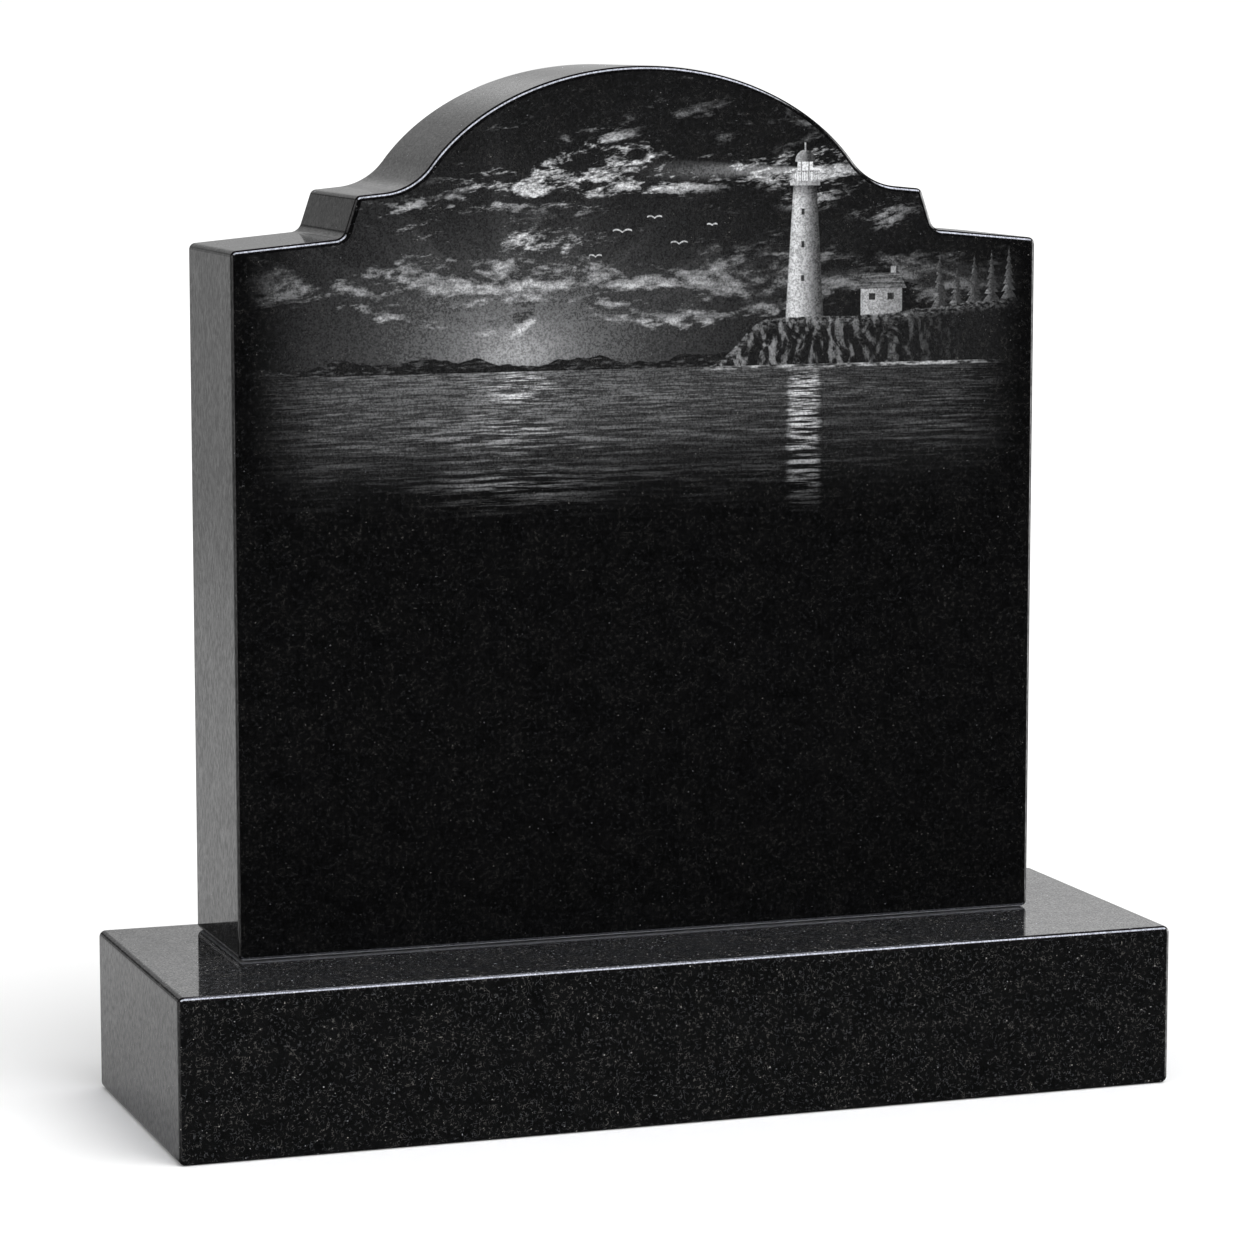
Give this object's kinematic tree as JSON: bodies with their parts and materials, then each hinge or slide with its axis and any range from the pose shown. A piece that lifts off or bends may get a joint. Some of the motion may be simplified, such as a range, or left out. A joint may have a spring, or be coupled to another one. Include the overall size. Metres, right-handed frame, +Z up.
{
  "type": "headstone",
  "caption": "Upright polished black granite headstone: a shouldered tablet with an elliptical crown on a rectangular base block.",
  "frame": {"origin": "on the ground, under the middle of the base block", "axes": "+Z up, +X to the right as seen from the front, the tablet's face looks towards -Y"},
  "size_m": [0.92, 0.305, 0.9183],
  "materials": {
    "black_granite": "polished"
  },
  "bodies": {
    "root": {"tablet": "black_granite", "base": "black_granite"}
  },
  "joints": []
}
